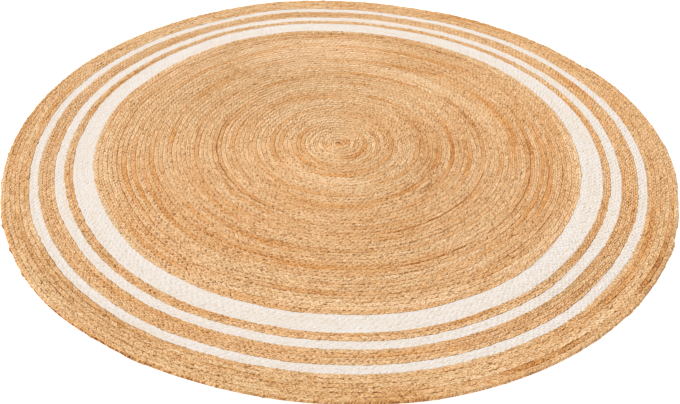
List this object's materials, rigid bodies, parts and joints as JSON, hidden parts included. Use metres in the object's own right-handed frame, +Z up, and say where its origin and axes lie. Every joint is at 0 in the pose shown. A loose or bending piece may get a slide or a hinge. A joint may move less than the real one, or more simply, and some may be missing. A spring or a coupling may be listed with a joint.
{
  "type": "round jute rug",
  "caption": "Round flat rug of natural jute braid wound in a spiral and sewn edge to edge, with plain bleached bands set near its rim. It lies on a floor, braided side up.",
  "frame": {"origin": "the eye of the coil, on the flat underside", "axes": "+Z up out of the braided top. +X and +Y lie in the rug, with +X to the right and +Y away in the picture's view"},
  "size_m": [1.495, 1.4911, 0.009],
  "materials": {
    "natural_jute": "golden tan jute fibre in a three-strand braid, dry and matt, with dark flecks and a few loose hairs",
    "bleached_white": "warm off-white bleached fibre in a three-strand braid, soft and matt"
  },
  "bodies": {
    "root": {"centre_coil": "natural_jute", "wide_white_band": "bleached_white", "thin_jute_band": "natural_jute", "middle_white_band": "bleached_white", "middle_jute_band": "natural_jute", "thin_white_band": "bleached_white", "rim_jute_band": "natural_jute"}
  },
  "joints": []
}
